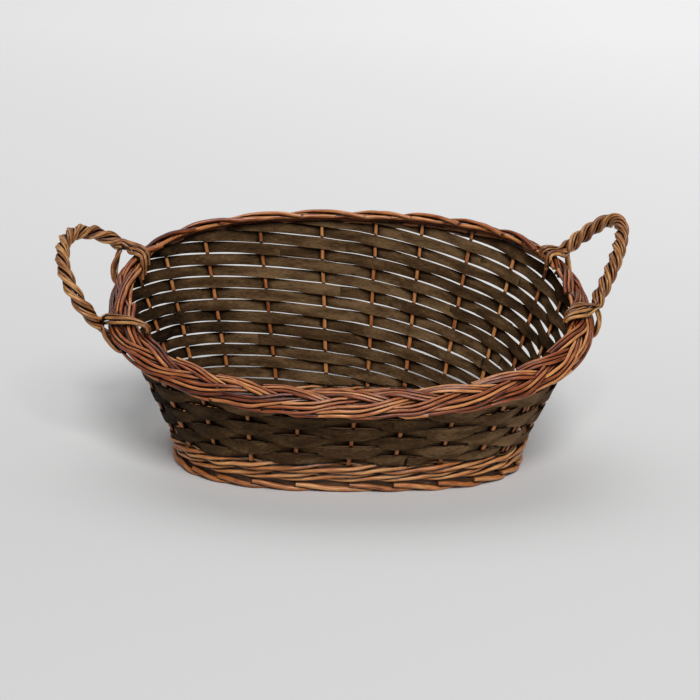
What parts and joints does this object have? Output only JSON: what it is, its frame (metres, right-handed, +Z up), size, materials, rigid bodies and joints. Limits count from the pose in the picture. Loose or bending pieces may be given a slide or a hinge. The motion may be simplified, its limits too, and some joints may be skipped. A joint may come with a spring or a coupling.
{
  "type": "woven_oval_basket",
  "caption": "Oval gathering basket with a sloping rim, dark chipwood strips woven on willow stakes, a rolled willow border and two ear handles.",
  "frame": {"origin": "centre of the bounding box on the ground", "axes": "X along the basket, from ear handle to ear handle; Y from the low front to the high back; Z up"},
  "size_m": [0.4754, 0.2744, 0.198],
  "materials": {
    "stake_willow": "satin",
    "border_willow": "satin",
    "handle_willow": "satin",
    "chipwood": "matte",
    "base_plywood": "matte"
  },
  "bodies": {
    "root": {"stake_01": "stake_willow", "stake_02": "stake_willow", "stake_03": "stake_willow", "stake_04": "stake_willow", "stake_05": "stake_willow", "stake_06": "stake_willow", "stake_07": "stake_willow", "stake_08": "stake_willow", "stake_09": "stake_willow", "stake_10": "stake_willow", "stake_11": "stake_willow", "stake_12": "stake_willow", "stake_13": "stake_willow", "stake_14": "stake_willow", "stake_15": "stake_willow", "stake_16": "stake_willow", "stake_17": "stake_willow", "stake_18": "stake_willow", "stake_19": "stake_willow", "stake_20": "stake_willow", "stake_21": "stake_willow", "stake_22": "stake_willow", "stake_23": "stake_willow", "stake_24": "stake_willow", "by_stake_left": "stake_willow", "by_stake_right": "stake_willow", "border_core": "stake_willow", "wale_rod_1": "border_willow", "wale_rod_2": "border_willow", "wale_rod_3": "border_willow", "wale_rod_4": "border_willow", "wale_rod_5": "border_willow", "wale_rod_6": "border_willow", "border_rod_1": "border_willow", "border_rod_2": "border_willow", "border_rod_3": "border_willow", "border_rod_4": "border_willow", "border_rod_5": "border_willow", "border_rod_6": "border_willow", "chip_strip_01": "chipwood", "chip_strip_02": "chipwood", "chip_strip_03": "chipwood", "chip_strip_04": "chipwood", "chip_strip_05": "chipwood", "chip_strip_06": "chipwood", "chip_strip_07": "chipwood", "chip_strip_08": "chipwood", "chip_strip_09": "chipwood", "chip_strip_10": "chipwood", "chip_strip_11": "chipwood", "chip_strip_12": "chipwood", "chip_strip_13": "chipwood", "left_handle_strand_1": "handle_willow", "left_handle_strand_2": "handle_willow", "left_handle_strand_3": "handle_willow", "right_handle_strand_1": "handle_willow", "right_handle_strand_2": "handle_willow", "right_handle_strand_3": "handle_willow", "base_board": "base_plywood"}
  },
  "joints": []
}
